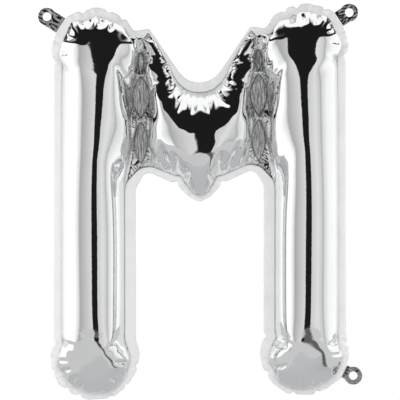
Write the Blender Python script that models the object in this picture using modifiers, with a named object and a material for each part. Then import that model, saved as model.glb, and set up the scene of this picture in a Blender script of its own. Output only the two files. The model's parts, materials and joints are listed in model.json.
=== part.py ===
"""Letter balloon of mirror foil, filled with air: two film panels welded together along
their edge and along short welds beside the middle strokes, with three hanging tabs.

The seam lies in the XZ plane. The front of the balloon looks along -Y, +Z is up, and the
origin is the middle of the balloon. Lengths are in metres.
"""

import math

import bmesh
import bpy
import numpy as np
from mathutils.geometry import delaunay_2d_cdt

MM = 0.001

# Film and welds
FILM = 1.0 * MM  # stands in for a film 0.04 mm thick
WELD = 0.6 * MM  # two films welded flat on each other
SEAT = 1.5 * MM  # how far a weld reaches under the rim of a panel
RIM = 1.0 * MM  # height of a panel's rim over the seam plane
LEAN = 0.022  # the right side sits higher than the left, as a share of the width

# Mesh
ARC_STEP = math.radians(18)
EDGE_STEP = 13 * MM
FIELD_STEP = 11 * MM
FIELD_GAP = 6 * MM
EDGE_GAP = 2.5 * MM
CROWDED = 0.94  # a moved point that is nearer its loop than this share of the move is dropped
# Rows of points along the welds, where the film turns steeply. Columns: depth and least gap.
ROWS = ((1.6 * MM, 1.3 * MM), (6 * MM, 3.6 * MM))

# Half of the cut edge, from the middle of the top notch round the left leg to the lower tip,
# with the width of the flat margin between it and the seam.
# Columns: x, z, corner radius and margin, in mm.
TAB_CORNER_TOP = ((-119.7, 168.8, 2, 8.2), (-130.0, 153.0, 2, 8.2))
TAB_CORNER_BOTTOM = ((-132.8, -149.0, 2, 8.2), (-126.5, -162.0, 2, 8.2))
HALF_EDGE = (
    (0, 89.5, 22.5, 8.6),
    (-45.5, 156.6, 4, 8.6),
    (-59.4, 154.8, 4, 8.6),
    (-66.6, 166.1, 5, 8.2),
    (-81.0, 173.7, 9, 8.0),
    (-109.8, 173.7, 9, 8.0),
    *TAB_CORNER_TOP,
    (-134.5, 139.0, 9, 8.0),
    (-131.4, 124.7, 10, 7.8),
    (-131.4, -122.9, 10, 7.8),
    (-134.8, -136.4, 10, 8.0),
    *TAB_CORNER_BOTTOM,
    (-114.3, -170.6, 8, 8.0),
    (-100.8, -176.2, 10, 7.6),
    (-79.2, -175.0, 10, 7.6),
    (-64.8, -164.3, 12, 8.0),
    (-56.3, -149.9, 12, 8.6),
    (-53.8, -136.4, 10, 9.5),
    (-57.4, -122.0, 10, 10.3),
    (-57.4, 13.1, 8, 10.3),
    (-48.6, 28.4, 7, 7.6),
    (-21.6, 16.2, 5, 6.8),
    (-9.9, 4.5, 5, 6.6),
    (0, -0.9, 6, 6.6),
)

# Eye-shaped welds between each leg and the middle strokes. Columns: name, z of the middle,
# length and width, in mm.
EYE_X = 53.0 * MM
EYES = (
    ("upper", 126.5, 18.0, 5.6),
    ("middle", 95.4, 37.0, 15.0),
    ("lower", 57.0, 31.5, 12.0),
)
EYE_POINTS = 7  # along each side of an eye

# Hanging tabs. Columns: name, side (-1 left, +1 right), the corner it grows from, distance
# from its fold to its hole and width at the fold, in mm.
TABS = (
    ("upper_left", -1, TAB_CORNER_TOP, 15.1, 15.5),
    ("upper_right", 1, TAB_CORNER_TOP, 11.6, 14.5),
    ("lower_right", 1, TAB_CORNER_BOTTOM, 9.4, 12.0),
)
TAB_RADIUS = 8.1 * MM
TAB_HOLE = 3.85 * MM
FOLD_GAP = 0.7 * MM
DISC_POINTS = 24
HOLE_POINTS = 20

# Mouth of the inflation valve, on the back of the margin beside the lower right tab
VALVE_SIZE = (9 * MM, 4 * MM, 0.3 * MM)
VALVE_GAP = 0.3 * MM
VALVE_PLACE = (104.0 * MM, -171.2 * MM)

# Colour, roughness and metallic value
FOIL = ("mirror_foil", (0.86, 0.87, 0.88, 1), 0.08, 1.0)
WELDED_FOIL = ("welded_foil", (0.80, 0.81, 0.82, 1), 0.22, 1.0)
CLEAR_FILM = ("clear_film", (0.90, 0.90, 0.88, 1), 0.25, 0.0)


def clear_scene():
    for obj in list(bpy.data.objects):
        bpy.data.objects.remove(obj, do_unlink=True)


def material(name, colour, roughness, metallic):
    made = bpy.data.materials.get(name) or bpy.data.materials.new(name)
    made.use_nodes = True
    made.diffuse_color = colour
    shader = made.node_tree.nodes["Principled BSDF"]
    shader.inputs["Base Color"].default_value = colour
    shader.inputs["Roughness"].default_value = roughness
    shader.inputs["Metallic"].default_value = metallic
    return made


def leaning(points):
    """The points with the right side raised and the left side lowered."""
    points = np.array(points, float)
    points[:, 1] += LEAN * points[:, 0]
    return points


def whole_edge():
    """Every corner of the cut edge: the half in HALF_EDGE and its mirror image."""
    left = np.array(HALF_EDGE) * MM
    right = left[-2:0:-1] * (-1, 1, 1, 1)
    return np.concatenate([left, right])


def rounded_loop(corners):
    """A closed loop with an arc at each corner. Its rows are x, z and margin."""
    loop = []
    for index, (x, z, radius, margin) in enumerate(corners):
        corner = np.array((x, z))
        before = corners[index - 1][:2] - corner
        after = corners[(index + 1) % len(corners)][:2] - corner
        longest = 0.48 * min(np.linalg.norm(before), np.linalg.norm(after))
        before /= np.linalg.norm(before)
        after /= np.linalg.norm(after)
        half = math.acos(np.clip(before @ after, -1, 1)) / 2
        reach = min(radius / math.tan(half), longest)
        across = (before + after) / np.linalg.norm(before + after)
        centre = corner + across * reach / math.cos(half)
        start = corner + before * reach - centre
        turn = math.copysign(math.pi - 2 * half, start[1] * before[0] - start[0] * before[1])
        steps = max(1, math.ceil(abs(turn) / ARC_STEP))
        for angle in np.linspace(0, turn, steps + 1):
            cos, sin = math.cos(angle), math.sin(angle)
            spoke = (start[0] * cos - start[1] * sin, start[0] * sin + start[1] * cos)
            loop.append((*(centre + spoke), margin))
    return np.array(loop)


def subdivided(loop, step):
    """The loop with extra points so that no stretch is longer than the step."""
    points = []
    for start, end in zip(loop, np.roll(loop, -1, axis=0)):
        parts = max(1, math.ceil(np.linalg.norm((end - start)[:2]) / step))
        points += [start + (end - start) * part / parts for part in range(parts)]
    return np.array(points)


def distance_to(loops, points):
    """The distance of each point to the nearest stretch of any of the loops."""
    nearest = np.full(len(points), np.inf)
    for loop in loops:
        for start, end in zip(loop, np.roll(loop, -1, axis=0)):
            along = end - start
            share = np.clip((points - start) @ along / max(along @ along, 1e-18), 0, 1)
            gap = np.linalg.norm(points - start - share[:, None] * along, axis=1)
            nearest = np.minimum(nearest, gap)
    return nearest


def is_inside(loop, points):
    """Which points lie inside the loop, by counting the crossings of a ray."""
    inside = np.zeros(len(points), bool)
    for (x0, z0), (x1, z1) in zip(loop, np.roll(loop, -1, axis=0)):
        spans = (z0 > points[:, 1]) != (z1 > points[:, 1])
        if z0 != z1:
            inside ^= spans & (points[:, 0] < x0 + (points[:, 1] - z0) * (x1 - x0) / (z1 - z0))
    return inside


def moved(loop, depth):
    """The loop moved inwards by the depth, or outwards where that is negative.

    The depth is one number, or one for each point."""
    along = np.roll(loop, -1, axis=0) - np.roll(loop, 1, axis=0)
    normal = np.stack([-along[:, 1], along[:, 0]], axis=1)
    normal /= np.linalg.norm(normal, axis=1)[:, None]
    if is_inside(loop, loop + normal * 0.1 * MM).mean() < 0.5:
        normal = -normal
    depths = np.broadcast_to(depth, len(loop))
    points = loop + normal * depths[:, None]
    return points[distance_to([loop], points) > CROWDED * abs(depths)]


def thinned(loop, gap):
    """The loop without the points that lie nearer than the gap to the one before."""
    kept = [loop[0]]
    for point in loop[1:]:
        if np.linalg.norm(point - kept[-1]) >= gap and np.linalg.norm(point - loop[0]) >= gap:
            kept.append(point)
    return np.array(kept)


def eye_loop(middle_x, middle_z, length, width):
    """A pointed oval: two arcs between an upper and a lower tip."""
    share = np.linspace(-1, 1, EYE_POINTS)
    bulge = width / 2 * (1 - share**2)
    right = np.stack([middle_x + bulge, middle_z + share * length / 2], axis=1)
    left = np.stack([middle_x - bulge, middle_z + share * length / 2], axis=1)
    return np.concatenate([right, left[-2:0:-1]])


def eye_loops(grow=0.0):
    """(name, loop) of each eye, larger on every side by grow."""
    loops = []
    for side, word in ((-1, "left"), (1, "right")):
        for name, middle_z, length, width in EYES:
            size = (length * MM + 2 * grow, width * MM + 2 * grow)
            loop = eye_loop(side * EYE_X, middle_z * MM, *size)
            loops.append((f"weld_eye_{word}_{name}", leaning(loop)))
    return loops


def cut_edge():
    """The cut edge and the width of the margin at each of its points."""
    rows = subdivided(leaning(rounded_loop(whole_edge())), EDGE_STEP)
    return rows[:, :2], rows[:, 2]


def spaced(kept, wanted, gap):
    """The kept points with each wanted point that is no nearer than the gap to any of them."""
    kept = [np.array(point) for point in kept]
    for point in wanted:
        if np.min(np.linalg.norm(np.array(kept) - point, axis=1)) >= gap:
            kept.append(point)
    return kept


def field_points(loops):
    """Points spread over the panel: rows along its welds, then an even field."""
    edge = np.concatenate(loops)
    points = list(edge)
    for depth, gap in ROWS:
        for loop, towards in zip(loops, [1] + [-1] * (len(loops) - 1)):
            row = moved(loop, towards * depth)
            clear = (distance_to(loops, row) > 0.9 * depth) & is_inside(loops[0], row)
            points = spaced(points, row[clear], gap)
    low, high = edge.min(axis=0), edge.max(axis=0)
    lines = np.arange(low[1], high[1], FIELD_STEP * math.sqrt(0.75))
    for number, z in enumerate(lines):
        start = low[0] + (number % 2) * FIELD_STEP / 2
        line = np.array([(x, z) for x in np.arange(start, high[0], FIELD_STEP)])
        inside = is_inside(loops[0], line) & (distance_to(loops, line) > ROWS[-1][0])
        for hole in loops[1:]:
            inside &= ~is_inside(hole, line)
        points = spaced(points, line[inside], FIELD_GAP)
    return np.array(points)


def triangles_over(loops, points):
    """Triangles that fill the first loop and leave the other loops open."""
    edges = []
    first = 0
    for loop in loops:
        count = len(loop)
        edges += [(first + i, first + (i + 1) % count) for i in range(count)]
        first += count
    made = delaunay_2d_cdt([tuple(point) for point in points], edges, [], 0, 1e-7)
    vertices = np.array([tuple(vertex) for vertex in made[0]])
    faces = np.array([tuple(face) for face in made[2]])
    centres = vertices[faces].mean(axis=1)
    inside = is_inside(loops[0], centres)
    for hole in loops[1:]:
        inside &= ~is_inside(hole, centres)
    return vertices, faces[inside]


def inflated_height(vertices, faces, loops):
    """How far pressure lifts the film at each vertex, zero on every weld.

    The solution u of laplace(u) = -1 gives a strip the profile (a^2 - x^2) / 2, so the square
    root of 2 u is a half circle: the section of an inflated tube.
    """
    count = len(vertices)
    stiffness = np.zeros((count, count))
    load = np.zeros(count)
    for face in faces:
        corners = vertices[face]
        edges = np.roll(corners, -1, axis=0) - np.roll(corners, 1, axis=0)
        area = abs(edges[0][0] * edges[1][1] - edges[0][1] * edges[1][0]) / 2
        stiffness[np.ix_(face, face)] += edges @ edges.T / (4 * area)
        load[face] += area / 3
    free = distance_to(loops, vertices) > 0.05 * MM
    lift = np.zeros(count)
    inner = np.ix_(free, free)
    lift[free] = np.linalg.solve(stiffness[inner], load[free])
    return np.sqrt(np.maximum(2 * lift, 0))


def add_object(name, data, look, collection):
    obj = bpy.data.objects.new(name, data)
    obj.data.materials.append(material(*look))
    collection.objects.link(obj)
    return obj


def film_panel(name, facing, collection, loops):
    """One side of the envelope: a cup of film whose rim sits on the welds."""
    points = field_points(loops)
    vertices, faces = triangles_over(loops, points)
    height = inflated_height(vertices, faces, loops)
    shape = bmesh.new()
    made = [
        shape.verts.new((x, facing * (RIM + lift), z))
        for (x, z), lift in zip(vertices, height)
    ]
    for face in faces:
        shape.faces.new([made[index] for index in face])
    bmesh.ops.recalc_face_normals(shape, faces=shape.faces)
    average = sum((face.normal.y for face in shape.faces), 0.0)
    if average * facing < 0:
        bmesh.ops.reverse_faces(shape, faces=shape.faces)
    mesh = bpy.data.meshes.new(name)
    shape.to_mesh(mesh)
    shape.free()
    mesh.shade_smooth()
    panel = add_object(name, mesh, FOIL, collection)
    shell = panel.modifiers.new("film thickness", "SOLIDIFY")
    shell.thickness = FILM
    shell.offset = -1
    return panel


def flat_plate(name, loops, thickness, look, collection, middle_y=0.0):
    """A plate in the seam plane, filled between its first loop and the others."""
    outline = bpy.data.curves.new(name, "CURVE")
    outline.dimensions = "2D"
    outline.fill_mode = "BOTH"
    outline.extrude = thickness / 2
    for loop in loops:
        spline = outline.splines.new("POLY")
        spline.points.add(len(loop) - 1)
        for point, (x, z) in zip(spline.points, loop):
            point.co = (x, z, 0, 1)
        spline.use_cyclic_u = True
    plate = add_object(name, outline, look, collection)
    plate.rotation_euler = (math.pi / 2, 0, 0)
    plate.location.y = middle_y
    return plate


def tab_frame(side, corner):
    """The middle of the fold, the direction away from the margin, and along the fold."""
    ends = leaning([(side * -row[0] * MM, row[1] * MM) for row in corner])
    along = ends[1] - ends[0]
    along /= np.linalg.norm(along)
    out = np.array((along[1], -along[0]))
    middle = ends.mean(axis=0)
    if out @ middle < 0:
        out = -out
    return middle, out, along


def ring_loop(centre, radius, count):
    angles = np.arange(count) * 2 * math.pi / count
    return centre + radius * np.stack([np.cos(angles), np.sin(angles)], axis=1)


def tab_loops(side, corner, reach, width):
    """Outline and hole of a tab: a disc on a straight neck that ends at the fold."""
    middle, out, along = tab_frame(side, corner)
    centre = middle + out * reach * MM
    half = width / 2 * MM
    meet = math.asin(min(half / TAB_RADIUS, 0.999))
    angles = np.linspace(math.pi - meet, meet - math.pi, DISC_POINTS)
    disc = [
        centre + TAB_RADIUS * (math.cos(angle) * out + math.sin(angle) * along)
        for angle in angles
    ]
    root = middle + out * FOLD_GAP
    outline = [root + half * along, *disc, root - half * along]
    return [np.array(outline), ring_loop(centre, TAB_HOLE, HOLE_POINTS)]


def build_balloon(collection):
    edge, margin = cut_edge()
    seam = subdivided(thinned(moved(edge, margin), EDGE_GAP), EDGE_STEP)
    welds = [seam] + [loop for _, loop in eye_loops()]
    film_panel("front_film", -1, collection, welds)
    film_panel("back_film", 1, collection, welds)
    rim = [edge, thinned(moved(edge, margin + SEAT), EDGE_GAP)]
    flat_plate("seam_margin", rim, WELD, WELDED_FOIL, collection)
    for name, loop in eye_loops(grow=SEAT):
        flat_plate(name, [loop], WELD, WELDED_FOIL, collection)
    for name, side, corner, reach, width in TABS:
        loops = tab_loops(side, corner, reach, width)
        flat_plate(f"hanging_tab_{name}", loops, WELD, WELDED_FOIL, collection)


def build_valve(collection):
    """The clear lip of the valve, flat on the back of the margin."""
    length, width, thickness = VALVE_SIZE
    place_x, place_z = VALVE_PLACE
    corners = [(-1, -1), (1, -1), (1, 1), (-1, 1)]
    lip = [(place_x + sx * length / 2, place_z + sz * width / 2) for sx, sz in corners]
    middle_y = WELD / 2 + VALVE_GAP + thickness / 2
    loop = leaning(lip)
    flat_plate("valve_lip", [loop], thickness, CLEAR_FILM, collection, middle_y)


def main():
    clear_scene()
    collection = bpy.data.collections.new("letter_balloon")
    bpy.context.scene.collection.children.link(collection)
    build_balloon(collection)
    build_valve(collection)


main()
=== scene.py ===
# %% [markdown]
# # A foil letter, blown up in Blender
#
# A letter balloon starts as two flat sheets of mirror film, welded together along their edge
# and cut out. Air pushes the sheets apart, the letter draws in, and the film that is now too
# long along its curved welds gathers into pleats. This lesson repeats that: it cuts the film
# flat, fills it with Blender's cloth pressure, and dresses the welds, the tabs and the studio
# round it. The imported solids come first, because every piece is fitted to them.

# %% Load the frame
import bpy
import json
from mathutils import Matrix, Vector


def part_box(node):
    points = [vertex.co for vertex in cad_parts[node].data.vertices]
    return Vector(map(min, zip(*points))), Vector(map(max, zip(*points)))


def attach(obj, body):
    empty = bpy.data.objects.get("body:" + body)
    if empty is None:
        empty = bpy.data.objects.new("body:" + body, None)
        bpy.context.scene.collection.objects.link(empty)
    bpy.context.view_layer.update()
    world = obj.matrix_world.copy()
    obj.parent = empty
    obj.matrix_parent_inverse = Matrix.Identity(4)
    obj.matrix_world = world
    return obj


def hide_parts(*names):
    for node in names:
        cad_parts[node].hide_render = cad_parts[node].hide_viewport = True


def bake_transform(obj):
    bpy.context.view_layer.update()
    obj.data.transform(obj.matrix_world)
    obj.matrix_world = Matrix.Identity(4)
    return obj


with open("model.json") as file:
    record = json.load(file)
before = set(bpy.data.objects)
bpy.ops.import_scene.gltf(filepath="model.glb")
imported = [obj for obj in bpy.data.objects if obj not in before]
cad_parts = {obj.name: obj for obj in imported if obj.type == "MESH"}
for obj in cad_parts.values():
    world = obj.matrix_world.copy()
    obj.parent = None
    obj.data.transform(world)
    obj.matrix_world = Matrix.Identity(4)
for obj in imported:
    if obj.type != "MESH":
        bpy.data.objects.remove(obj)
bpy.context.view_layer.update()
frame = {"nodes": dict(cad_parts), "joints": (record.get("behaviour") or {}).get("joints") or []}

# %% Modules and units
import json
import math

import bmesh
import bpy
import numpy as np
from mathutils import Matrix, Vector, noise
from mathutils.geometry import delaunay_2d_cdt

MM = 0.001
PI = math.pi

# %% [markdown]
# ## The camera
#
# The picture is a product shot from straight in front. It shows 0.36 m at the seam, so the lens
# follows from the distance: far enough that the legs don't seem to splay, and near enough that
# each leg mirrors a slightly different part of the studio, as the two legs in the picture do.

# %% Camera
PICTURE_WIDTH = 0.36
CAMERA_DISTANCE = 1.10
PICTURE_MIDDLE = (0.0002, 0.00135)

view = bpy.data.cameras.new("camera")
view.lens = view.sensor_width * CAMERA_DISTANCE / PICTURE_WIDTH
view.clip_start = 0.01
camera = bpy.data.objects.new("camera", view)
camera.location = (PICTURE_MIDDLE[0], -CAMERA_DISTANCE, PICTURE_MIDDLE[1])
camera.rotation_euler = (PI / 2, 0, 0)
bpy.context.scene.collection.objects.link(camera)
bpy.context.scene.camera = camera
print(f"lens {view.lens:.0f} mm at {CAMERA_DISTANCE} m")

# %% [markdown]
# ## Flat outlines
#
# The film, the margin and the small welds are all flat figures in the seam plane before they
# are bent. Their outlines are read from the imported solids, so that nothing has to be fitted
# afterwards. A few helpers on closed loops of points then do what a pattern cutter does with
# paper: move a line in or out, space its points evenly, and tell inside from outside.

# %% Read an outline from a packed plate
def plate_outlines(name):
    """The closed outlines of a flat node as x and z, the longest first."""
    mesh = frame["nodes"][name].data
    places = {}
    corners = []
    for vertex in mesh.vertices:
        key = tuple(round(value / (0.001 * MM)) for value in vertex.co)
        corners.append(places.setdefault(key, vertex.index))
    sides = set()
    for face in mesh.polygons:
        if face.normal.y < -0.9:
            around = [corners[index] for index in face.vertices]
            sides |= set(zip(around, around[1:] + around[:1]))
    following = {start: end for start, end in sides if (end, start) not in sides}
    loops = []
    while following:
        start, end = following.popitem()
        loop = [start]
        while end != start:
            loop.append(end)
            end = following.pop(end)
        loops.append(np.array([(mesh.vertices[i].co.x, mesh.vertices[i].co.z) for i in loop]))
    return sorted(loops, key=loop_length, reverse=True)


def loop_length(loop):
    return np.linalg.norm(np.roll(loop, -1, axis=0) - loop, axis=1).sum()


# %% Helpers on closed loops
def even(loop, step):
    """The closed loop with points an even step apart. Columns after x and z go along."""
    sides = np.linalg.norm((np.roll(loop, -1, axis=0) - loop)[:, :2], axis=1)
    along = np.concatenate([[0], np.cumsum(sides)])
    count = max(8, round(along[-1] / step))
    places = np.arange(count) * along[-1] / count
    closed = np.concatenate([loop, loop[:1]])
    columns = [np.interp(places, along, column) for column in closed.T]
    return np.stack(columns, axis=1)


def distance_to(loops, points):
    """The distance of each point to the nearest stretch of any of the loops."""
    nearest = np.full(len(points), np.inf)
    for loop in loops:
        for start, end in zip(loop, np.roll(loop, -1, axis=0)):
            along = end - start
            share = np.clip((points - start) @ along / max(along @ along, 1e-18), 0, 1)
            gap = np.linalg.norm(points - start - share[:, None] * along, axis=1)
            nearest = np.minimum(nearest, gap)
    return nearest


def is_inside(loop, points):
    """Which points lie inside the loop, by counting the crossings of a ray."""
    inside = np.zeros(len(points), bool)
    for (x0, z0), (x1, z1) in zip(loop, np.roll(loop, -1, axis=0)):
        spans = (z0 > points[:, 1]) != (z1 > points[:, 1])
        if z0 != z1:
            crossing = x0 + (points[:, 1] - z0) * (x1 - x0) / (z1 - z0)
            inside ^= spans & (points[:, 0] < crossing)
    return inside


def inward(loop):
    """The unit direction into the loop at each of its points."""
    along = np.roll(loop, -1, axis=0) - np.roll(loop, 1, axis=0)
    normal = np.stack([-along[:, 1], along[:, 0]], axis=1)
    normal /= np.linalg.norm(normal, axis=1)[:, None]
    right_way = is_inside(loop, loop + normal * 0.1 * MM).mean() > 0.5
    return normal if right_way else -normal


def smoothed(values, reach):
    """The mean of each row and the rows within the reach of it, round a closed loop."""
    shifted = [np.roll(values, step, axis=0) for step in range(-reach, reach + 1)]
    return np.mean(shifted, axis=0)


def eased(values, low, high):
    """0 up to low, 1 from high, and a smooth step between them."""
    share = np.clip((values - low) / (high - low), 0, 1)
    return share * share * (3 - 2 * share)


# %% Fill outlines with triangles
def honeycomb(low, high, step):
    """Points in rows, each row half a step beside the one before."""
    lines = np.arange(low[1], high[1], step * math.sqrt(0.75))
    rows = []
    for number, z in enumerate(lines):
        line = np.arange(low[0] + (number % 2) * step / 2, high[0], step)
        rows.append(np.stack([line, np.full(len(line), z)], axis=1))
    return np.concatenate(rows)


def filled(loops, points):
    """Points and triangles that fill the first loop and leave the other loops open."""
    edges = []
    first = 0
    for loop in loops:
        edges += [(first + i, first + (i + 1) % len(loop)) for i in range(len(loop))]
        first += len(loop)
    everything = np.concatenate([*loops, points])
    made = delaunay_2d_cdt([Vector(point) for point in everything], edges, [], 0, 1e-7)
    places = np.array([tuple(point) for point in made[0]])
    faces = np.array([tuple(face) for face in made[2]])
    middles = places[faces].mean(axis=1)
    kept = is_inside(loops[0], middles)
    for hole in loops[1:]:
        kept &= ~is_inside(hole, middles)
    return places, faces[kept]


def field(loops, step, gap):
    """A honeycomb inside the first loop and outside the others, clear of all of them."""
    points = honeycomb(loops[0].min(axis=0), loops[0].max(axis=0), step)
    kept = is_inside(loops[0], points)
    for hole in loops[1:]:
        kept &= ~is_inside(hole, points)
    points = points[kept]
    return points[distance_to(loops, points) > gap]


# %% Make a piece from points and faces
def piece(name, points, faces, look, facing=0):
    """A smooth mesh object. Its faces are turned towards facing on the Y axis if that isn't 0."""
    shape = bmesh.new()
    made = [shape.verts.new(point) for point in points]
    for face in faces:
        shape.faces.new([made[index] for index in face])
    bmesh.ops.recalc_face_normals(shape, faces=shape.faces)
    if facing * sum(face.normal.y for face in shape.faces) < 0:
        bmesh.ops.reverse_faces(shape, faces=shape.faces)
    mesh = bpy.data.meshes.new(name)
    shape.to_mesh(mesh)
    shape.free()
    mesh.shade_smooth()
    mesh.materials.append(look)
    obj = bpy.data.objects.new(name, mesh)
    bpy.context.scene.collection.objects.link(obj)
    return obj


# %% [markdown]
# ## The weld lines
#
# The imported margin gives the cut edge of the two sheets. The seam lies inside it by the width of
# the margin, which is widest under the notch and narrow along the slanting arms. On the real
# balloon the seam isn't smooth: where it goes round a corner it buckles, and every two or three
# centimetres it is pinched in, with a nearly straight stretch between one pinch and the next.
# The first table gives those pinches, and the second the places between two pinches where the
# top of a leg stands higher.

# %% Pinches and crowns of the seam
# Columns: x and z of a pinch at the cut edge, its depth and its half width, in mm
PINCHES = (
    (-131.3, 125.7, 2.2, 2.4),
    (-105.5, 170.9, 2.2, 2.2),
    (-81.7, 171.3, 2.4, 2.2),
    (-70.0, 163.6, 2.2, 2.0),
    (-131.0, -127.8, 2.2, 2.4),
    (-134.0, -141.5, 1.0, 1.6),
    (-129.3, -151.4, 1.8, 2.2),
    (-118.9, -167.5, 2.0, 2.0),
    (-107.8, -174.2, 2.2, 2.0),
    (-79.9, -176.0, 1.8, 2.0),
    (-66.1, -165.7, 1.8, 2.0),
    (-55.8, -148.0, 2.2, 2.2),
    (76.7, 171.5, 2.0, 2.0),
    (87.9, 174.2, 2.4, 2.0),
    (110.9, 171.6, 2.2, 2.2),
    (133.8, 144.0, 1.2, 1.6),
    (131.2, 131.3, 2.2, 2.2),
    (134.5, -127.3, 2.2, 2.4),
    (136.1, -133.7, 1.2, 1.6),
    (104.9, -171.5, 2.0, 2.0),
    (83.9, -170.3, 2.4, 2.0),
    (62.2, -152.6, 2.2, 2.0),
    (59.0, -121.5, 2.2, 2.4),
    (-20.9, 16.1, 2.2, 2.4),
    (19.1, 17.1, 2.2, 2.4),
)


# The tops of the legs stand higher between two pinches. Columns: x, z, rise, half width, in mm
CROWNS = ((-93.0, 171.7, 3.2, 8.0), (95.5, 175.8, 2.6, 8.0))


def pinched(loop):
    """The loop drawn in at every pinch."""
    drawn = np.zeros(len(loop))
    for x, z, depth, half_width in PINCHES:
        nearest = loop[np.argmin(np.linalg.norm(loop - np.array((x, z)) * MM, axis=1))]
        gap = np.linalg.norm(loop - nearest, axis=1)
        drawn += depth * MM * np.exp(-((gap / (half_width * MM)) ** 2))
    return loop + inward(loop) * drawn[:, None]


def crowned(loop):
    """The loop raised along the tops of the legs."""
    raised = np.zeros(len(loop))
    for x, z, rise, half_width in CROWNS:
        gap = np.linalg.norm(loop - np.array((x, z)) * MM, axis=1)
        raised += rise * MM * np.exp(-((gap / (half_width * MM)) ** 2))
    return loop - inward(loop) * raised[:, None]


print(f"{len(PINCHES)} pinches and {len(CROWNS)} crowns")

# %% [markdown]
# ## From the cut edge to the seam
#
# The next table goes once down the left half of the letter; the right half is its mirror image,
# set a little higher. Each row says how wide the margin is there, and where the seam lay before
# the letter was filled. A tube that is welded flat is a half turn wide, so its flat width is half
# of pi times its filled width: the outer welds lay 48 mm further out, because each leg was wider
# and the middle drew in too.

# %% Margin and flat cut, station by station
FILM_STEP = 2.1 * MM  # the size of the film's net where it pleats
LEAN = 0.022  # the right side sits higher than the left, as a share of the width
# Left half, from the top notch round the leg to the lower tip. Columns: x and z at the cut edge,
# the width of the margin, and how far out and how far up the seam lay in the flat cut, in mm
SEAM = (
    (0, 107.0, 9.2, 0, 13.5),
    (-11.0, 106.0, 8.8, -3, 12.5),
    (-24.0, 125.2, 4.6, -8, 9),
    (-45.5, 156.6, 2.4, -11, 7),
    (-52.3, 156.0, 8.4, -13, 9),
    (-59.4, 154.8, 7.0, -16, 11),
    (-66.6, 166.1, 8.2, -19.5, 13),
    (-79.6, 173.6, 8.0, -25, 15.5),
    (-93.5, 177.0, 8.2, -31, 15.5),
    (-108.6, 173.6, 8.0, -37, 15),
    (-119.7, 168.8, 8.2, -41.5, 12),
    (-130.0, 153.0, 8.2, -46, 7),
    (-134.5, 139.0, 8.0, -48, 3),
    (-131.4, 124.7, 7.8, -48, 0),
    (-131.4, -122.9, 7.8, -48, 0),
    (-134.8, -136.4, 8.0, -48, -3),
    (-132.8, -149.0, 8.2, -47, -7),
    (-126.5, -162.0, 8.2, -44, -11),
    (-114.3, -170.6, 8.0, -40, -14),
    (-100.8, -176.2, 7.6, -35, -15.5),
    (-79.2, -175.0, 7.6, -27, -15.5),
    (-64.8, -164.3, 8.0, -21.5, -13),
    (-56.3, -149.9, 8.6, -17, -7),
    (-53.8, -136.4, 9.5, -16, -3),
    (-57.4, -122.0, 10.3, -16, 0),
    (-57.4, 13.1, 10.3, -16, 0),
    (-48.6, 28.4, 5.6, -15, -1),
    (-21.6, 16.2, 6.8, -10, -9),
    (-9.9, 4.5, 6.6, -5.5, -12),
    (0, -0.9, 6.6, 0, -14),
)


ROW_PARTS = 60  # how finely the table is read between two of its rows
CLEAR_SHARE = 0.93  # a point that comes nearer to the edge than this share is left out


def seam_rows(points):
    """Margin and flat shift for points of the cut edge, read between the rows of the table."""
    left = np.array(SEAM) * MM
    right = left[-2:0:-1] * (-1, 1, 1, -1, 1)
    knots = np.concatenate([left, right])
    knots[:, 1] += LEAN * knots[:, 0]
    share = np.linspace(0, 1, ROW_PARTS, endpoint=False)[:, None]
    dense = [a + (b - a) * share for a, b in zip(knots, np.roll(knots, -1, axis=0))]
    dense = np.concatenate(dense)
    nearest = [np.argmin(np.linalg.norm(dense[:, :2] - point, axis=1)) for point in points]
    return dense[nearest, 2:]


def drawn_in(loop, rows):
    """The seam inside the cut edge, with the flat shift of each of its points."""
    points = loop + inward(loop) * rows[:, :1]
    clear = distance_to([loop], points) > CLEAR_SHARE * rows[:, 0]
    return np.concatenate([points, rows[:, 1:]], axis=1)[clear]


cut_edge = crowned(even(plate_outlines("seam_margin")[0], 1.0 * MM))
edge = pinched(cut_edge)
seam_table = even(drawn_in(cut_edge, seam_rows(cut_edge)), FILM_STEP)
seam_smooth = seam_table[:, :2]
seam = pinched(seam_smooth)
print(f"seam {loop_length(seam):.2f} m, cut edge {loop_length(edge):.2f} m")

# %% [markdown]
# ## The weld eyes
#
# Between each leg and the middle the two films are welded in three pointed ovals. Their packed
# plates reach a little under the film, so the weld lines lie inside the outlines of the plates.

# %% Weld lines of the eyes
SEAT = 1.5 * MM  # how far a packed weld reaches under the panels
EYE_TRIM = 0.1 * MM  # the film closes over the sides of the eyes by this much
EYE_STEP = 0.9 * FILM_STEP
LOW_EYE_DROP = 5 * MM  # the lowest eyes run on almost to the seam below them


def eye_loop(name):
    """The weld line of an eye: two arcs that meet at an upper and a lower tip."""
    low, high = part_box(name)
    if name.endswith("lower"):
        low.z -= LOW_EYE_DROP
    middle = (low + high) / 2
    half_width = (high.x - low.x) / 2 - SEAT - EYE_TRIM
    half_length = (high.z - low.z) / 2 - SEAT
    share = np.linspace(-1, 1, 25)
    bulge = half_width * (1 - share**2)
    right = np.stack([middle.x + bulge, middle.z + share * half_length], axis=1)
    left = np.stack([middle.x - bulge, middle.z + share * half_length], axis=1)
    return np.concatenate([right, left[-2:0:-1]])


eye_names = sorted(name for name in frame["nodes"] if name.startswith("weld_eye"))
eyes = [even(eye_loop(name), EYE_STEP) for name in eye_names]
print(f"{len(eyes)} eyes, the longest {1000 * max(np.ptp(eye[:, 1]) for eye in eyes):.0f} mm")

# %% [markdown]
# ## The flat cut
#
# Now the welds go back to where they lay in the flat cut. Where the flat seam is longer than the
# filled one, film is left over, and that is what becomes pleats.

# %% Where the welds lay in the flat cut
EYE_SHIFT = 16 * MM
EYE_SPREAD = 0.06  # the eyes lay further apart in height too, by this share
EYE_LEVEL = 90 * MM
SHIFT_REACH = 4  # points over which the shift of the seam is evened out

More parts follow.
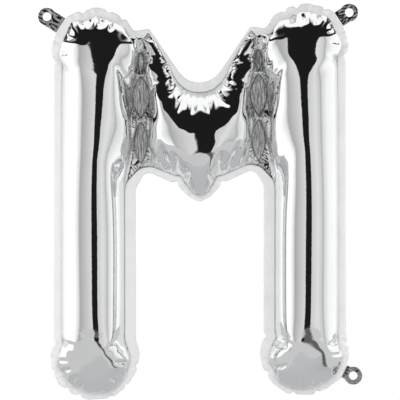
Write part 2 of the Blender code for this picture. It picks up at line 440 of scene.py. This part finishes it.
flat_seam = seam_smooth + smoothed(seam_table[:, 2:], SHIFT_REACH)
flat_eyes = []
for eye in eyes:
    middle = eye.mean(axis=0)
    rise = EYE_SPREAD * (middle[1] - EYE_LEVEL)
    flat_eyes.append(eye + (math.copysign(EYE_SHIFT, middle[0]), rise))
spare = np.linalg.norm(np.roll(flat_seam, -1, axis=0) - flat_seam, axis=1)
spare = spare / np.linalg.norm(np.roll(seam_smooth, -1, axis=0) - seam_smooth, axis=1) - 1
spare = smoothed(np.maximum(spare, 0), SHIFT_REACH)

# %% [markdown]
# ## A net over the flat film
#
# Cloth bends only where its net has an edge, so the net is fine where the film will pleat: round
# the eyes, along the notch and the lower point, and at the ends of the legs. The long straight
# stretches of the legs stay smooth, and a coarser net there saves time.

# %% Net of triangles over the flat film
COARSE_STEP = 4.2 * MM
LEG_TOP, LEG_FOOT, MIDDLE_HALF = 112 * MM, -122 * MM, 92 * MM


def is_busy(points):
    """Which points of the flat cut lie where the film will pleat."""
    x, z = points[:, 0], points[:, 1]
    return (z > LEG_TOP) | (z < LEG_FOOT) | ((abs(x) < MIDDLE_HALF) & (z > -5 * MM))


flat_loops = [flat_seam, *flat_eyes]
fine = field(flat_loops, FILM_STEP, 0.6 * FILM_STEP)
coarse = field(flat_loops, COARSE_STEP, 0.9 * FILM_STEP)
inner = np.concatenate([fine[is_busy(fine)], coarse[~is_busy(coarse)]])
net, net_faces = filled(flat_loops, inner)
welded = np.concatenate([seam, *eyes])
print(f"{len(net)} points and {len(net_faces)} triangles, {len(welded)} of the points on welds")


# %% [markdown]
# ## Filling it
#
# Blender's cloth does the filling: the welds are pinned, a shape key draws them from the flat
# cut in to the measured outline, and pressure pushes the film out meanwhile. The flat cut is
# kept as the rest shape, so the film never stretches; it has to bulge and pleat instead. Cloth
# behaves best at the size of clothes, so the film is simulated ten times too large. Only one
# sheet is simulated, because the back one is its mirror image.

# %% Fill the film with air
SCALE = 10
FRAMES = 60
DRAW_IN = 28  # the frame by which the welds are in place
PRESSURE = 8
DOME = 20 * MM  # the tent over the flat film rises up to this distance from a weld


def start_height(points):
    """A shallow tent over the flat film, so that pressure has a side to push to."""
    return -0.35 * np.minimum(distance_to(flat_loops, points), DOME)


def key_shape(obj, name, points):
    key = obj.shape_key_add(name=name)
    key.data.foreach_set("co", (points * SCALE).astype(np.float32).ravel())
    return key


def with_height(points, height):
    return np.stack([points[:, 0], np.broadcast_to(height, len(points)), points[:, 1]], axis=1)


def set_cloth(film, pins, flat):
    """Gives the film its cloth: soft against squeezing, stiff against stretching."""
    cloth = film.modifiers.new("cloth", "CLOTH")
    settings = cloth.settings
    settings.quality = 6
    settings.mass = 0.1
    settings.tension_stiffness = 60
    settings.compression_stiffness = 8
    settings.shear_stiffness = 30
    settings.bending_stiffness = 0.01
    settings.tension_damping = 5
    settings.compression_damping = 5
    settings.shear_damping = 5
    settings.air_damping = 2
    settings.vertex_group_mass = pins.name
    settings.pin_stiffness = 1
    settings.use_pressure = True
    settings.uniform_pressure_force = PRESSURE
    settings.effector_weights.gravity = 0
    settings.rest_shape_key = flat
    cloth.collision_settings.use_collision = False
    cloth.point_cache.frame_start = 1
    cloth.point_cache.frame_end = FRAMES


def filled_film():
    """The points of the front film once the letter is full of air."""
    start = with_height(net, start_height(net))
    film = piece("film", start * SCALE, net_faces, bpy.data.materials.new("sample"), facing=-1)
    pins = film.vertex_groups.new(name="welds")
    pins.add(list(range(len(welded))), 1.0, "REPLACE")
    key_shape(film, "start", start)
    end = start.copy()
    end[: len(welded)] = with_height(welded, 0.0)
    welds_in = key_shape(film, "welds drawn in", end)
    flat = key_shape(film, "flat cut", with_height(net, 0.0))
    for value, frame_number in ((0, 1), (1, DRAW_IN)):
        welds_in.value = value
        welds_in.keyframe_insert("value", frame=frame_number)
    set_cloth(film, pins, flat)
    scene = bpy.context.scene
    for frame_number in range(1, FRAMES + 1):
        scene.frame_set(frame_number)
    full = film.evaluated_get(bpy.context.evaluated_depsgraph_get()).data
    points = np.empty(3 * len(net), np.float32)
    full.vertices.foreach_get("co", points)
    scene.frame_set(1)
    bpy.data.objects.remove(film)
    return points.reshape(-1, 3) / SCALE


film_points = filled_film()
print(f"the front film stands {-1000 * film_points[:, 1].min():.0f} mm proud of the seam")

# %% [markdown]
# ## Sorting the pleats by size
#
# The net can only fold at its own size, so its pleats are wider and deeper than those of real
# film, which is as thin as a hair. The film is therefore split in two: a smoothed shape without
# pleats, and what the pleats add to it. Near a weld it is smoothed only along that weld, so that
# it still rises steeply beside it. A part of the pleats is put back, and the fine ones come on
# top of that.

# %% Calm the wide pleats
CALM_TURNS = 30
CALM_IN, CALM_BACK = 0.5, -0.53  # a step that smooths, then one that undoes the shrinking
SKIN = 0.05 * MM  # how far the film stays in front of the seam plane
KEPT_NEAR, KEPT_FAR = 0.45, 0.06  # the share of the pleats that stays, near and far from welds
weld_gap = distance_to(flat_loops, net)


def net_sides():
    """Each side of the net once, with its weight: a side across the pull of a weld counts less."""
    sides = np.concatenate([net_faces[:, [0, 1]], net_faces[:, [1, 2]], net_faces[:, [2, 0]]])
    first, second = np.unique(np.sort(sides, axis=1), axis=0).T
    slope = (weld_gap[second] - weld_gap[first]) / np.linalg.norm(net[second] - net[first], axis=1)
    along = np.clip(1 - slope**2, 0.01, 1) ** 2
    weight = along + (1 - along) * eased(weld_gap[first], 8 * MM, 26 * MM)
    return first, second, weight[:, None]


def calmed(points, fixed, turns):
    """The points smoothed without shrinking, with the first few held in place."""
    first, second, weight = net_sides()
    whole = np.zeros((len(points), 1))
    np.add.at(whole, first, weight)
    np.add.at(whole, second, weight)
    result = points.copy()
    for turn_number in range(2 * turns):
        total = np.zeros_like(result)
        np.add.at(total, first, weight * result[second])
        np.add.at(total, second, weight * result[first])
        share = CALM_BACK if turn_number % 2 else CALM_IN
        result[fixed:] += share * (total / whole - result)[fixed:]
    return result


smooth_points = calmed(film_points, len(welded), CALM_TURNS)
kept = KEPT_NEAR + (KEPT_FAR - KEPT_NEAR) * eased(weld_gap, 4 * MM, 26 * MM)
film_points = smooth_points + kept[:, None] * (film_points - smooth_points)
film_points[len(welded) :, 1] = np.minimum(film_points[len(welded) :, 1], -SKIN)
film_points[: len(welded), 1] = 0
print(f"after calming it stands {-1000 * film_points[:, 1].min():.0f} mm proud")

# %% [markdown]
# ## Shader formulas
#
# Every finish here is arithmetic on sockets. One small class lets a socket be used in a Python
# expression, and each operator adds the Math node that does it. Another method adds any other
# node from its type, its settings and its inputs.

# %% A socket that can be used in a formula
class Value:
    """A socket of a node tree."""

    def __init__(self, tree, socket):
        self.tree = tree
        self.socket = socket

    def math(self, operation, *inputs, clamp=False):
        settings = {"operation": operation, "use_clamp": clamp}
        return add_node(self.tree, "ShaderNodeMath", settings, dict(enumerate(inputs)))

    def __add__(self, other):
        return self.math("ADD", self, other)

    def __sub__(self, other):
        return self.math("SUBTRACT", self, other)

    def __mul__(self, other):
        return self.math("MULTIPLY", self, other)

    def __truediv__(self, other):
        return self.math("DIVIDE", self, other)

    def __rsub__(self, other):
        return self.math("SUBTRACT", other, self)

    __radd__ = __add__
    __rmul__ = __mul__

    def step(self, low, high):
        """0 up to low, 1 from high, and a smooth step between them."""
        settings = {"interpolation_type": "SMOOTHSTEP"}
        limits = {"Value": self, "From Min": low, "From Max": high}
        return add_node(self.tree, "ShaderNodeMapRange", settings, limits, "Result")

    def stops(self, *pairs, blend="EASE"):
        """A ramp of greys: pairs of a place from 0 to 1 and a brightness."""
        node = self.tree.nodes.new("ShaderNodeValToRGB")
        ramp = node.color_ramp
        ramp.interpolation = blend
        while len(ramp.elements) > 1:
            ramp.elements.remove(ramp.elements[0])
        for number, (place, grey) in enumerate(pairs):
            stop = ramp.elements.new(place) if number else ramp.elements[0]
            stop.position = place
            stop.color = (grey, grey, grey, 1)
        self.tree.links.new(self.socket, node.inputs["Fac"])
        return Value(self.tree, node.outputs["Color"])


def add_node(tree, kind, settings=None, inputs=None, output=0):
    """Adds a node: first its settings, then a value or a link for each input named."""
    node = tree.nodes.new(kind)
    for name, setting in (settings or {}).items():
        setattr(node, name, setting)
    for name, value in (inputs or {}).items():
        if isinstance(value, Value):
            tree.links.new(value.socket, node.inputs[name])
        else:
            node.inputs[name].default_value = value
    return Value(tree, node.outputs[output])


def link(value, node, name):
    value.tree.links.new(value.socket, node.inputs[name])


def place(tree):
    """The place on the object, in metres."""
    return add_node(tree, "ShaderNodeTexCoord", output="Object")


def apart(vector):
    """The three numbers of a vector."""
    inputs = {"Vector": vector}
    return [add_node(vector.tree, "ShaderNodeSeparateXYZ", None, inputs, axis) for axis in "XYZ"]


def stretched(vector, scale):
    """The vector with each of its numbers multiplied."""
    settings = {"operation": "MULTIPLY"}
    return add_node(vector.tree, "ShaderNodeVectorMath", settings, {0: vector, 1: scale})


def cloudy(vector, scale, detail=3.0, roughness=0.5):
    """Soft noise around a half."""
    inputs = {"Vector": vector, "Scale": scale, "Detail": detail, "Roughness": roughness}
    return add_node(vector.tree, "ShaderNodeTexNoise", None, inputs, "Fac")


# %% [markdown]
# ## The foil
#
# The film is plastic with a thin coat of aluminium: a mirror that is a little less bright than
# silver. Its waviness is real geometry here, so the finish only adds what is finer than that:
# a faint crinkle, patches where the coat is slightly duller, and painted shade along the welds.

# %% Mirror foil
def finish(name, colour, roughness, metallic):
    """A new material, its shader node and its tree."""
    look = bpy.data.materials.new(name)
    look.use_nodes = True
    look.diffuse_color = (*colour, 1)
    shader = look.node_tree.nodes["Principled BSDF"]
    shader.inputs["Base Color"].default_value = (*colour, 1)
    shader.inputs["Roughness"].default_value = roughness
    shader.inputs["Metallic"].default_value = metallic
    return look, shader, look.node_tree


def tinted(tree, share, first, second):
    """A colour between two colours."""
    mix = add_node(tree, "ShaderNodeMix", {"data_type": "RGBA"}, {"Factor": share}).socket.node
    first_socket, second_socket = [socket for socket in mix.inputs if socket.type == "RGBA"]
    first_socket.default_value = (*first, 1)
    second_socket.default_value = (*second, 1)
    result = next(socket for socket in mix.outputs if socket.type == "RGBA")
    return Value(tree, result)


def bumped(tree, height, strength, distance):
    """The normal of a surface with the height drawn on it."""
    inputs = {"Height": height, "Strength": strength, "Distance": distance}
    return add_node(tree, "ShaderNodeBump", None, inputs, "Normal")


PLEAT = 2.6 * MM
PLEAT_HEIGHT = 0.22  # in mm
PLEAT_REACH = 11 * MM
SLOW_WAVE, QUICK_WAVE = 21 * MM, 8.7 * MM  # two waves that make the pleats uneven
FULL_SPARE = 0.12  # the share of spare film at which the pleats have their full depth


def wave(along, length):
    phase = along * (2 * PI / length)
    return phase.math("SINE", phase)


def pleat_wave(along, gap, extra):
    """Pleats that start at the weld and die out, uneven in width, length and depth."""
    slow = wave(along, SLOW_WAVE)
    quick = wave(along, QUICK_WAVE)
    phase = along * (2 * PI / PLEAT) + slow * 2.6 + quick * 1.2
    reach = 1 + slow * quick * 0.45
    fade = (gap / (reach * PLEAT_REACH)).step(1.0, 0.1)
    start = gap.step(0.0, 0.9 * MM)
    fullness = extra / FULL_SPARE
    strength = fullness.math("MINIMUM", fullness, 1.2) * 0.75 + 0.2
    return phase.math("SINE", phase) * fade * start * strength * PLEAT_HEIGHT


def mirror_foil():
    """The mirror of the two films and the tabs."""
    look, shader, tree = finish("mirror_foil", (0.93, 0.935, 0.94), 0.045, 1.0)
    patches = cloudy(place(tree), 22.0)
    crinkle = cloudy(place(tree), 420.0, detail=2.0)
    weld = add_node(tree, "ShaderNodeAttribute", {"attribute_name": "weld"}, output="Vector")
    along, gap, extra = apart(weld)
    pleats = pleat_wave(along, gap, extra)
    off_painted_weld_shade = gap.step(0.5 * MM, 1.7 * MM)  # painted shade: the base colour is dark along the weld line itself
    brightness_with_painted_shade = off_painted_weld_shade * (patches * 0.2 + 0.8)
    # Painted shade along the welds, times random duller patches of the coat. The tabs have no weld
    # attribute, so their gap reads 0 and they take the dark painted shade all over.
    link(tinted(tree, brightness_with_painted_shade, (0.40, 0.40, 0.405), (0.95, 0.955, 0.96)), shader, "Base Color")
    link(patches * 0.03 + 0.03, shader, "Roughness")
    link(bumped(tree, crinkle * 0.016 + pleats, 1.0, 1.0 * MM), shader, "Normal")
    return look


def welded_foil():
    """The flat double film of the margin, dulled by the heat of the weld."""
    look, shader, tree = finish("welded_foil", (0.86, 0.865, 0.87), 0.24, 0.45)
    where = place(tree)
    patches = cloudy(where, 60.0)
    ribs = cloudy(where, 900.0, detail=1.0)
    link(tinted(tree, patches, (0.80, 0.805, 0.81), (0.90, 0.905, 0.91)), shader, "Base Color")
    link(patches * 0.2 + 0.32, shader, "Roughness")
    link(bumped(tree, ribs, 0.2, 0.3 * MM), shader, "Normal")
    return look


def crushed_foil():
    """The welded eyes: fine upright strands, with painted shade in their hollows."""
    look, shader, tree = finish("crushed_foil", (0.60, 0.605, 0.61), 0.2, 1.0)
    where = stretched(place(tree), (900.0, 0.0, 90.0))
    strands = cloudy(where, 1.0, detail=3.0, roughness=0.6)
    # painted shade: the base colour is dark where the strands' bump is low, in their hollows
    brightness_with_painted_shade = strands.step(0.35, 0.65)
    link(tinted(tree, brightness_with_painted_shade, (0.34, 0.34, 0.345), (0.86, 0.865, 0.87)), shader, "Base Color")
    link(strands * 0.2 + 0.1, shader, "Roughness")
    link(bumped(tree, strands, 0.8, 0.8 * MM), shader, "Normal")
    return look


def clear_film():
    """The hazy, clear lips of the valve."""
    look, shader, tree = finish("clear_film", (0.90, 0.90, 0.88), 0.2, 0.0)
    haze = cloudy(place(tree), 300.0)
    link(haze * 0.2 + 0.12, shader, "Roughness")
    link(haze * 0.2 + 0.45, shader, "Alpha")
    return look


MIRROR = mirror_foil()
WELDED = welded_foil()
CRUSHED = crushed_foil()
CLEAR = clear_film()

# %% [markdown]
# ## The two films
#
# One subdivision rounds the net's small triangles, so that the mirror shows no corners.

# %% Where each point lies along the nearest weld
PINCH_START, PINCH_REACH = 3 * MM, 13 * MM
EYE_SPARE = 0.16  # the share of film that is left over round the eyes


def weld_rows(loop, extra, points):
    """For each point: place along the loop, distance to it and the spare film there."""
    along = np.linalg.norm(np.roll(loop, -1, axis=0) - loop, axis=1).cumsum()
    step = loop_length(loop) / (4 * len(loop))
    dense = even(loop, step)
    nearest = np.array([np.argmin(((dense - point) ** 2).sum(axis=1)) for point in points])
    gap = np.linalg.norm(points - dense[nearest], axis=1)
    return np.stack([nearest * step, gap, np.interp(nearest * step, along, extra)], axis=1)


def nearest_weld(points):
    """For points of the flat cut: the row of the weld that is nearest."""
    extras = [spare] + [np.full(len(eye), EYE_SPARE) for eye in eyes]
    rows = np.array([weld_rows(loop, extra, points) for loop, extra in zip(flat_loops, extras)])
    chosen = np.argmin(rows[:, :, 1], axis=0)
    return rows[chosen, np.arange(len(points))]


def pinch_depth(points):
    """How far the film is drawn in beside each pinch of the seam."""
    depth = np.zeros(len(points))
    directions = inward(seam)
    for x, z, drawn, half_width in PINCHES:
        index = np.argmin(np.linalg.norm(seam - np.array((x, z)) * MM, axis=1))
        into = smoothed(directions, 4)[index]
        into = into / np.linalg.norm(into)
        reach = (points - seam[index]) @ into
        across = abs((points - seam[index]) @ np.array((-into[1], into[0])))
        groove = np.exp(-((across / (0.8 * half_width * MM)) ** 2))
        ends = eased(reach, 0, PINCH_START) * (1 - eased(reach, PINCH_START, PINCH_REACH))
        depth += 1.1 * drawn * MM * groove * ends
    return depth


def front_film():
    """The rounded and pleated front film as a mesh."""
    rough = piece("film_front", film_points, net_faces, MIRROR, facing=-1)
    flat = rough.data.attributes.new("flat", "FLOAT_VECTOR", "POINT")
    flat.data.foreach_set("vector", with_height(net, 0.0).astype(np.float32).ravel())
    rounder = rough.modifiers.new("rounder", "SUBSURF")
    rounder.levels = rounder.render_levels = 1
    rounder.boundary_smooth = "PRESERVE_CORNERS"
    full = rough.evaluated_get(bpy.context.evaluated_depsgraph_get())
    mesh = bpy.data.meshes.new_from_object(full)
    bpy.data.objects.remove(rough)
    count = len(mesh.vertices)
    places, normals, flats = (np.empty(3 * count, np.float32) for _ in range(3))
    mesh.vertices.foreach_get("co", places)
    mesh.vertex_normals.foreach_get("vector", normals)
    mesh.attributes["flat"].data.foreach_get("vector", flats)
    places, normals, flats = (values.reshape(-1, 3) for values in (places, normals, flats))
    places = places - normals * pinch_depth(places[:, [0, 2]])[:, None]
    furthest_back = np.where(places[:, 1] > -0.2 * SKIN, 0, -SKIN)
    places[:, 1] = np.minimum(places[:, 1], furthest_back)
    mesh.vertices.foreach_set("co", places.astype(np.float32).ravel())
    mesh.attributes.remove(mesh.attributes["flat"])
    weld = mesh.attributes.new("weld", "FLOAT_VECTOR", "POINT")
    weld.data.foreach_set("vector", nearest_weld(flats[:, [0, 2]]).astype(np.float32).ravel())
    mesh.update()
    return mesh


# %% Front and back film
flat_area = 0.0
for face in net_faces:
    (ax, az), (bx, bz), (cx, cz) = net[face]
    flat_area += abs((bx - ax) * (cz - az) - (cx - ax) * (bz - az)) / 2
front_mesh = front_film()
back_mesh = front_mesh.copy()
back_mesh.transform(Matrix.Scale(-1, 4, (0, 1, 0)))
back_mesh.flip_normals()
for name, node, mesh in (
    ("film_front", "front_film", front_mesh),
    ("film_back", "back_film", back_mesh),
):
    film = bpy.data.objects.new(name, mesh)
    bpy.context.scene.collection.objects.link(film)
    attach(film, "envelope")
    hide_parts(node)
print(f"two sheets of film of {1e4 * flat_area:.0f} square centimetres inside the seam")
print(f"{sum(len(face.vertices) - 2 for face in front_mesh.polygons)} triangles a sheet")

# %% [markdown]
# ## The margin
#
# Outside the seam the two films are welded flat on each other. The margin is a little long for
# the seam that has drawn in beside it, so it ripples, more towards its free edge, and it
# creases at every pinch.

# %% Rippled margin
RIPPLE = 6.5 * MM
MARGIN_STEP = 1.5 * MM
FOIL_THICKNESS = 0.12 * MM


def thicken(sheet):
    """Gives a bare sheet the thickness of two films."""
    body = sheet.modifiers.new("thickness", "SOLIDIFY")
    body.thickness = FOIL_THICKNESS
    body.offset = 0


def fold_middles():
    return [np.array(joint["pos_m"])[[0, 2]] for joint in frame["joints"]]


def margin_height(points):
    """How far the margin waves out of the seam plane."""
    places = np.linalg.norm(np.roll(seam, -1, axis=0) - seam, axis=1).cumsum()
    nearest = np.array([np.argmin(np.linalg.norm(seam - point, axis=1)) for point in points])
    out = np.linalg.norm(points - seam[nearest], axis=1)
    share = np.clip(out / (8 * MM), 0, 1.2)
    along = places[nearest]
    swing = RIPPLE / PI * np.sqrt(np.minimum(spare[nearest], 0.15))
    phase = 2 * PI * along / RIPPLE + 1.8 * np.sin(2 * PI * along / (5.3 * RIPPLE))
    height = 0.55 * swing * share * np.sin(phase)
    height += 0.15 * MM * share * np.sin(2 * PI * along / (9 * RIPPLE))
    for number, (x, z, depth, half_width) in enumerate(PINCHES):
        gap = np.linalg.norm(points - np.array((x, z)) * MM, axis=1)
        side = 1 if number % 2 else -1
        crease = np.exp(-((gap / (1.2 * half_width * MM)) ** 2))
        height += side * 0.5 * depth * MM * share * crease
    for middle in fold_middles():
        height *= eased(np.linalg.norm(points - middle, axis=1), 7 * MM, 14 * MM)
    return height


margin_loops = [edge, seam]
margin_points, margin_faces = filled(margin_loops, field(margin_loops, MARGIN_STEP, 0.7 * MM))
margin_shape = with_height(margin_points, margin_height(margin_points))
margin = piece("margin", margin_shape, margin_faces, WELDED, -1)
thicken(margin)
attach(margin, "envelope")
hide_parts("seam_margin")
print(f"margin of {len(margin_faces)} triangles")

# %% [markdown]
# ## The pads in the eyes
#
# The film round a welded eye pulls in from both sides, so the pad inside it is crushed across its
# width into fine upright folds. Noise that is drawn out along the height gives those folds, and
# they die out towards the weld line, where the film holds the pad flat.

# %% Crushed pads
FOLD_WIDTH = 1.5 * MM
FOLD_LENGTH = 11 * MM
FOLD_HEIGHT = 0.55 * MM
PAD_STEP = 0.7 * MM
PAD_GAP = 0.4 * MM


def folds(points, width, length, seed):
    """Noise drawn out along z, from about -1 to 1."""
    return np.array([noise.noise(Vector((x / width, seed, z / length))) for x, z in points])


def pad_height(loop, points, seed):
    """Wide folds with finer ones on them."""
    fade = eased(distance_to([loop], points), 0, 1.5 * MM)
    wide = folds(points, FOLD_WIDTH, FOLD_LENGTH, seed)
    narrow = folds(points, 0.5 * FOLD_WIDTH, 0.3 * FOLD_LENGTH, 9.1 + seed)
    return FOLD_HEIGHT * fade * (wide + 0.5 * narrow)


for number, (name, loop) in enumerate(zip(eye_names, eyes)):
    points, faces = filled([loop], field([loop], PAD_STEP, PAD_GAP))
    shape = with_height(points, pad_height(loop, points, 3.7 * number))
    pad = piece(name.replace("weld_eye", "pad"), shape, faces, CRUSHED, -1)
    thicken(pad)
    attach(pad, "envelope")
    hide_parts(name)
print(f"{len(eyes)} crushed weld eyes")

# %% [markdown]
# ## The hanging tabs
#
# A tab is the same double film, with a hole for a thread. On the real balloon it bends at its neck
# and is creased from handling. Its root is drawn back to the fold, where the margin lies flat.

# %% Creased tabs
CREASE = 0.9 * MM
CREASE_WIDTH, CREASE_LENGTH = 3.2 * MM, 6 * MM


def tab_outlines(node, fold, out):
    """Outline and hole of a tab, with its root drawn back to the fold."""
    outline, hole = plate_outlines(node)
    reach = (outline - fold) @ out
    outline = outline - np.where(reach < 1.0 * MM, reach, 0)[:, None] * out
    return [outline, hole]


def outward(node, fold, along):
    """The direction across the fold that leads into the tab."""
    low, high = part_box(node)
    middle = np.array(((low.x + high.x) / 2, (low.z + high.z) / 2))
    out = np.array((along[1], -along[0]))
    return out * math.copysign(1, out @ (middle - fold))


def tab_height(points, fold, along, out):
    """Creases that begin beyond the fold."""
    reach = (points - fold) @ out
    across = (points - fold) @ along
    seed = 7.3 * fold[1] * 10
    places = zip(across / CREASE_WIDTH, reach / CREASE_LENGTH)
    creases = np.array([abs(noise.noise(Vector((a, seed, r)))) - 0.25 for a, r in places])
    return 2.2 * CREASE * creases * eased(reach, 0.3 * MM, 4 * MM)


for joint in frame["joints"]:
    body_name = joint["child"]
    node = "hanging_" + body_name
    fold = np.array(joint["pos_m"])[[0, 2]]
    along = np.array(joint["axis"])[[0, 2]]
    out = outward(node, fold, along)
    loops = [even(loop, PAD_STEP) for loop in tab_outlines(node, fold, out)]
    points, faces = filled(loops, field(loops, PAD_STEP, PAD_GAP))
    shape = with_height(points, tab_height(points, fold, along, out))
    tab = piece(body_name.replace("tab", "loop_tab"), shape, faces, MIRROR, -1)
    thicken(tab)
    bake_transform(tab)
    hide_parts(node)

# %% [markdown]
# ## The valve
#
# Its two clear lips show on the back of the margin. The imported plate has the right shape, so it
# stays and only gets its finish.

# %% Valve lip
lip = frame["nodes"]["valve_lip"]
lip.data.materials.clear()
lip.data.materials.append(CLEAR)

# %% [markdown]
# ## The studio
#
# A mirror shows nothing but its surroundings, so the studio matters as much as the foil. The
# picture was taken in a white light tent: pale walls close by, an upright gap in front for the
# lens, a dark room above that gap, light from overhead and a pale floor. The wall has to be a
# real surface near the balloon, because each leg mirrors the gap from its own place. It is
# hidden from the camera, which stands outside it.

# %% Light tent
TENT_RADIUS = 0.55
TENT_TOP = 0.55
TENT_FOOT = -0.45
SWEEP_TOP = -0.19  # below this the wall is the same grey as the floor
SLIT_TURN = 6.5  # degrees to the right of straight in front
SLIT_HALF = 10.0 / 360  # half its width, as a share of a full turn
SLIT_FLARE = 0.36  # how fast it widens above its foot
FLARE_FOOT = 0.20
SLIT_BEND = 0.5  # how fast it turns to the right in the sweep, below the wall
PANEL_TOP = 0.41
SWEEP_GREY = 0.62
ROOM_GREY = 0.012


def glowing(name):
    """A material that only glows: its tree and its emission node."""
    look = bpy.data.materials.new(name)
    look.use_nodes = True
    tree = look.node_tree
    tree.nodes.remove(tree.nodes["Principled BSDF"])
    glow = tree.nodes.new("ShaderNodeEmission")
    tree.links.new(glow.outputs[0], tree.nodes["Material Output"].inputs["Surface"])
    return look, tree, glow


def turn(degrees):
    """A direction round the tent as a place on a ramp: 0.5 is straight in front."""
    return 0.5 + degrees / 360


def tent_wall():
    look, tree, glow = glowing("tent_wall")
    x, y, z = apart(place(tree))
    round_it = x.math("ARCTAN2", x, y * -1) / (2 * PI) + 0.5
    panels = round_it.stops(
        (turn(-179), 0.62),
        (turn(-130), 0.85),
        (turn(-105), 1.15),
        (turn(-66), 1.15),
        (turn(-52), 0.80),
        (turn(-46), 0.42),
        (turn(-43), 0.46),
        (turn(-25), 0.60),
        (turn(-8), 0.72),
        (turn(19.5), 0.66),
        (turn(40), 0.80),
        (turn(55), 0.62),
        (turn(58), 0.44),
        (turn(62), 0.72),
        (turn(80), 1.0),
        (turn(110), 1.1),
        (turn(140), 0.8),
        (turn(179), 0.62),
        blend="LINEAR",
    )
    high = (z - FLARE_FOOT).math("MAXIMUM", z - FLARE_FOOT, 0)
    opening = high * SLIT_FLARE + SLIT_HALF
    low = (SWEEP_TOP - z).math("MAXIMUM", SWEEP_TOP - z, 0)
    middle = low * SLIT_BEND + turn(SLIT_TURN)
    off_slit = (round_it - middle).math("ABSOLUTE", round_it - middle)
    below_top = 1 - z.step(PANEL_TOP - 0.006, PANEL_TOP + 0.006)
    sweep = (z * -1).step(-SWEEP_TOP - 0.004, -SWEEP_TOP + 0.004)
    panels = panels * (off_slit - opening).step(0, 0.003) * below_top + ROOM_GREY
    swept = SWEEP_GREY - 0.5 * (1 - off_slit.step(0.5 * SLIT_HALF, 1.2 * SLIT_HALF))
    brightness = panels * (1 - sweep) + swept * sweep
    link(brightness, glow, "Color")
    return look


def ring(radius, height, sides):
    """Points on a level circle, from straight in front."""
    turns = [2 * PI * number / sides for number in range(sides)]
    return [(radius * math.sin(t), -radius * math.cos(t), height) for t in turns]


def tube_wall(radius, foot, top, sides=128):
    points = ring(radius, foot, sides) + ring(radius, top, sides)
    faces = [(i, (i + 1) % sides, sides + (i + 1) % sides, sides + i) for i in range(sides)]
    return points, faces


wall = piece("tent_wall", *tube_wall(TENT_RADIUS, TENT_FOOT, TENT_TOP), tent_wall())
wall.visible_camera = False
wall.visible_shadow = False
print(f"tent wall from {TENT_FOOT} to {TENT_TOP} m")

# %% [markdown]
# The floor is pale and plain, with a painted shadow right under the balloon that the ends of the
# legs mirror. For the camera it fades to white away from the balloon, so that there is no horizon.

# %% Floor
FLOOR_HEIGHT = -0.45
FLOOR_RADIUS = 8.0
FLOOR_SIDES = 96


def floor_finish():
    look, shader, tree = finish("pale_floor", (0.74, 0.745, 0.75), 0.6, 0.0)
    x, y, z = apart(place(tree))
    out = x.math("SQRT", x * x + y * y)
    # painted shadow: the base colour darkens to 0.34 under the balloon, within 0.5 m of the
    # middle, and fades back to 0.74 by 0.9 m
    painted_shadow_under = 1 - out.step(0.5, 0.9)
    link(tinted(tree, painted_shadow_under, (0.74, 0.745, 0.75), (0.34, 0.345, 0.35)), shader, "Base Color")
    seen = add_node(tree, "ShaderNodeLightPath", output="Is Camera Ray")
    far = out.step(0.9, 1.5) * seen
    white = add_node(tree, "ShaderNodeEmission", None, {"Color": (1, 1, 1, 1)})
    mixed = add_node(tree, "ShaderNodeMixShader", None, {0: far, 2: white})
    tree.links.new(shader.outputs[0], mixed.socket.node.inputs[1])
    tree.links.new(mixed.socket, tree.nodes["Material Output"].inputs["Surface"])
    return look


rim = ring(FLOOR_RADIUS, FLOOR_HEIGHT, FLOOR_SIDES)
floor = piece("floor", rim, [tuple(range(FLOOR_SIDES))], floor_finish())

# %% [markdown]
# A large soft light beside the camera brightens what isn't a mirror: the margin and the floor.
# It is left out of reflections, so that it draws no square on the foil.

# %% Soft front light
def soft_light(name, location, size, power):
    data = bpy.data.lights.new(name, "AREA")
    data.shape = "DISK"
    data.size = size
    data.energy = power
    lamp = bpy.data.objects.new(name, data)
    lamp.location = location
    lamp.rotation_euler = (-Vector(location)).to_track_quat("-Z", "Y").to_euler()
    lamp.visible_glossy = False
    lamp.visible_camera = False
    bpy.context.scene.collection.objects.link(lamp)


soft_light("front_light", (0.0, -1.6, 0.5), 1.2, 30)
soft_light("back_light", (0.0, 1.6, 0.5), 1.2, 30)

# %% [markdown]
# The world behind the tent is white for the camera. What the foil mirrors of it is a dark room
# in front, with light from overhead and from the back.

# %% World
def studio_world():
    world = bpy.data.worlds.new("studio")
    world.use_nodes = True
    tree = world.node_tree
    background = tree.nodes["Background"]
    x, y, z = apart(add_node(tree, "ShaderNodeTexCoord", output="Generated"))
    overhead = z.step(0.93, 0.96)
    behind = y.step(-0.1, 0.2)
    sideways = x.math("ABSOLUTE", x).step(0.62, 0.8)
    lit = overhead.math("MAXIMUM", overhead, behind.math("MAXIMUM", behind, sideways))
    seen = add_node(tree, "ShaderNodeLightPath", output="Is Camera Ray")
    brightness = seen.math("MAXIMUM", seen, lit * 1.05 + ROOM_GREY)
    link(brightness, background, "Color")
    bpy.context.scene.world = world


studio_world()
bpy.context.scene.view_settings.view_transform = "Standard"
